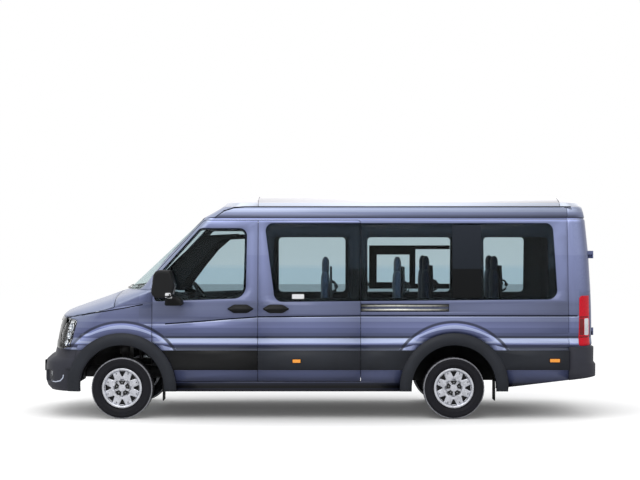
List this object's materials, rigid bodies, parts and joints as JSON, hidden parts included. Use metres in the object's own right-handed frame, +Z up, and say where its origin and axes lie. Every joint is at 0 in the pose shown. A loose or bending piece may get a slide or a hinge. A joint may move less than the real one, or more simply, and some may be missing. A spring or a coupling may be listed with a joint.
{
  "type": "minibus",
  "caption": "High-roof minibus with a sliding passenger door, hinged cab and rear doors, opening bonnet, steered front wheels, seats and a full-length window band.",
  "frame": {"origin": "on the ground under the middle of the overall length and width, at the bottom of the bounding box", "axes": "+X towards the tail (the vehicle faces -X), +Y to the vehicle's right side, +Z up"},
  "size_m": [6.55, 2.57, 2.6],
  "materials": {
    "paint": "gloss",
    "tinted_glass": "gloss",
    "screen_glass": "gloss",
    "black_plastic": "matte",
    "grey_plastic": "satin",
    "tyre_rubber": "matte",
    "wheel_silver": "satin",
    "iron": "matte",
    "steel": "satin",
    "black_steel": "satin",
    "floor_vinyl": "matte",
    "lamp_red": "gloss",
    "lamp_clear": "gloss",
    "seat_fabric": "matte",
    "alloy": "satin"
  },
  "bodies": {
    "body": {"body_side_left": "paint", "body_side_right": "paint", "sliding_door": "paint", "slider_handle": "black_plastic", "side_glass": "tinted_glass", "tail_lamps": "lamp_red", "front_wings": "paint", "headlamps": "lamp_clear", "grille": "black_plastic", "cowl_panel": "paint", "windscreen": "screen_glass", "front_bumper": "grey_plastic", "roof": "paint", "rear_panel": "paint", "rear_bumper": "grey_plastic", "body_cladding": "grey_plastic", "front_beam": "iron", "front_struts": "steel", "rear_axle": "iron", "chassis_rails": "black_steel", "floor_pan": "floor_vinyl", "bulkhead": "black_steel", "wheel_liners": "black_plastic", "engine": "iron", "fuel_tank": "black_plastic", "exhaust": "steel", "tow_eyes": "black_steel", "dashboard": "black_plastic", "passenger_seats": "seat_fabric", "front_seats": "seat_fabric", "door_rail": "alloy"},
    "knuckle_body_left": {"knuckle_left": "iron"},
    "knuckle_body_right": {"knuckle_right": "iron"},
    "bonnet_body": {"bonnet": "paint"},
    "steering_wheel_body": {"steering_wheel": "black_plastic"},
    "front_door_body_left": {"front_door_left": "paint", "front_door_glass_left": "tinted_glass", "front_door_trim_left": "black_plastic"},
    "rear_door_body_left": {"rear_door_left": "paint", "rear_door_glass_left": "tinted_glass"},
    "wheel_front_left": {"tyre_front_left": "tyre_rubber", "rim_front_left": "wheel_silver"},
    "wheel_rear_left": {"tyre_rear_left": "tyre_rubber", "rim_rear_left": "wheel_silver"},
    "front_door_body_right": {"front_door_right": "paint", "front_door_glass_right": "tinted_glass", "front_door_trim_right": "black_plastic"},
    "rear_door_body_right": {"rear_door_right": "paint", "rear_door_glass_right": "tinted_glass"},
    "wheel_front_right": {"tyre_front_right": "tyre_rubber", "rim_front_right": "wheel_silver"},
    "wheel_rear_right": {"tyre_rear_right": "tyre_rubber", "rim_rear_right": "wheel_silver"}
  },
  "joints": [
    {"name": "steer_left", "type": "hinge", "parent": "body", "child": "knuckle_body_left", "pos_m": [-2.245, -0.7, 0.356], "axis": [0, 0, 1], "range_deg": [-35, 35]},
    {"name": "spin_front_left", "type": "hinge", "parent": "knuckle_body_left", "child": "wheel_front_left", "pos_m": [-2.245, -0.86, 0.356], "axis": [0, 1, 0], "continuous": true},
    {"name": "spin_rear_left", "type": "hinge", "parent": "body", "child": "wheel_rear_left", "pos_m": [1.605, -0.86, 0.356], "axis": [0, 1, 0], "continuous": true},
    {"name": "front_door_hinge_left", "type": "hinge", "parent": "body", "child": "front_door_body_left", "pos_m": [-1.893, -1.03, 1.2], "axis": [0, 0, -1], "range_deg": [0, 68]},
    {"name": "rear_door_hinge_left", "type": "hinge", "parent": "body", "child": "rear_door_body_left", "pos_m": [3.252, -0.76, 1.6], "axis": [0, 0, -1], "range_deg": [0, 180]},
    {"name": "steer_right", "type": "hinge", "parent": "body", "child": "knuckle_body_right", "pos_m": [-2.245, 0.7, 0.356], "axis": [0, 0, 1], "range_deg": [-35, 35]},
    {"name": "spin_front_right", "type": "hinge", "parent": "knuckle_body_right", "child": "wheel_front_right", "pos_m": [-2.245, 0.86, 0.356], "axis": [0, 1, 0], "continuous": true},
    {"name": "spin_rear_right", "type": "hinge", "parent": "body", "child": "wheel_rear_right", "pos_m": [1.605, 0.86, 0.356], "axis": [0, 1, 0], "continuous": true},
    {"name": "front_door_hinge_right", "type": "hinge", "parent": "body", "child": "front_door_body_right", "pos_m": [-1.893, 1.03, 1.2], "axis": [0, 0, 1], "range_deg": [0, 68]},
    {"name": "rear_door_hinge_right", "type": "hinge", "parent": "body", "child": "rear_door_body_right", "pos_m": [3.252, 0.76, 1.6], "axis": [0, 0, 1], "range_deg": [0, 180]},
    {"name": "bonnet_hinge", "type": "hinge", "parent": "body", "child": "bonnet_body", "pos_m": [-2.285, 0, 1.5], "axis": [0, 1, 0], "range_deg": [0, 50]},
    {"name": "steering_wheel_turn", "type": "hinge", "parent": "body", "child": "steering_wheel_body", "pos_m": [-1.435, 0.47, 1.373], "axis": [0.8192, 0, 0.5736], "range_deg": [-560, 560]}
  ],
  "couplings": [
    {"joint": "steer_right", "follows": "steer_left", "ratio": 1},
    {"joint": "steering_wheel_turn", "follows": "steer_left", "ratio": 16}
  ]
}
